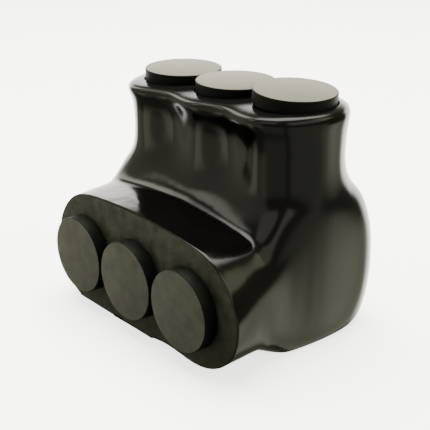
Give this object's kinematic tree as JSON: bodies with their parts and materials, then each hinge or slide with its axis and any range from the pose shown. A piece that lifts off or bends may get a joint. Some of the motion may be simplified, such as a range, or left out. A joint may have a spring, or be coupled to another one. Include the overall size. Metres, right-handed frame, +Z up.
{
  "type": "insulated multi-tap connector",
  "caption": "Aluminium wire connector block with parallel ports and set screws in a black dip-moulded jacket with scalloped sleeves, all openings closed by pull-out rubber plugs.",
  "frame": {"origin": "on the jacket's underside, straight below the axis of the middle set screw", "axes": "+X along the row of ports, -Y out of the wire ports, +Z up along the set screws and out of their sleeves"},
  "size_m": [0.084, 0.0658, 0.0712],
  "materials": {
    "jacket": "glossy dip-moulded plastisol",
    "block": "machined extrusion",
    "set_screw": "turned and threaded",
    "port_plug": "matte moulded rubber",
    "access_plug": "matte moulded rubber"
  },
  "bodies": {
    "connector": {"insulating_jacket": "jacket", "connector_block": "block"},
    "set_screw_left": {"set_screw_left": "set_screw"},
    "wire_port_plug_left": {"wire_port_plug_left": "port_plug"},
    "screw_access_plug_left": {"screw_access_plug_left": "access_plug"},
    "set_screw_middle": {"set_screw_middle": "set_screw"},
    "wire_port_plug_middle": {"wire_port_plug_middle": "port_plug"},
    "screw_access_plug_middle": {"screw_access_plug_middle": "access_plug"},
    "set_screw_right": {"set_screw_right": "set_screw"},
    "wire_port_plug_right": {"wire_port_plug_right": "port_plug"},
    "screw_access_plug_right": {"screw_access_plug_right": "access_plug"}
  },
  "joints": [
    {"name": "set_screw_left_travel", "type": "slide", "parent": "connector", "child": "set_screw_left", "axis": [0, 0, 1], "range_m": [-0.021, 0]},
    {"name": "wire_port_plug_left_pull", "type": "slide", "parent": "connector", "child": "wire_port_plug_left", "axis": [0, -1, 0], "range_m": [0, 0.03]},
    {"name": "screw_access_plug_left_pull", "type": "slide", "parent": "connector", "child": "screw_access_plug_left", "axis": [0, 0, 1], "range_m": [0, 0.03]},
    {"name": "set_screw_middle_travel", "type": "slide", "parent": "connector", "child": "set_screw_middle", "axis": [0, 0, 1], "range_m": [-0.021, 0]},
    {"name": "wire_port_plug_middle_pull", "type": "slide", "parent": "connector", "child": "wire_port_plug_middle", "axis": [0, -1, 0], "range_m": [0, 0.03]},
    {"name": "screw_access_plug_middle_pull", "type": "slide", "parent": "connector", "child": "screw_access_plug_middle", "axis": [0, 0, 1], "range_m": [0, 0.03]},
    {"name": "set_screw_right_travel", "type": "slide", "parent": "connector", "child": "set_screw_right", "axis": [0, 0, 1], "range_m": [-0.021, 0]},
    {"name": "wire_port_plug_right_pull", "type": "slide", "parent": "connector", "child": "wire_port_plug_right", "axis": [0, -1, 0], "range_m": [0, 0.03]},
    {"name": "screw_access_plug_right_pull", "type": "slide", "parent": "connector", "child": "screw_access_plug_right", "axis": [0, 0, 1], "range_m": [0, 0.03]}
  ]
}
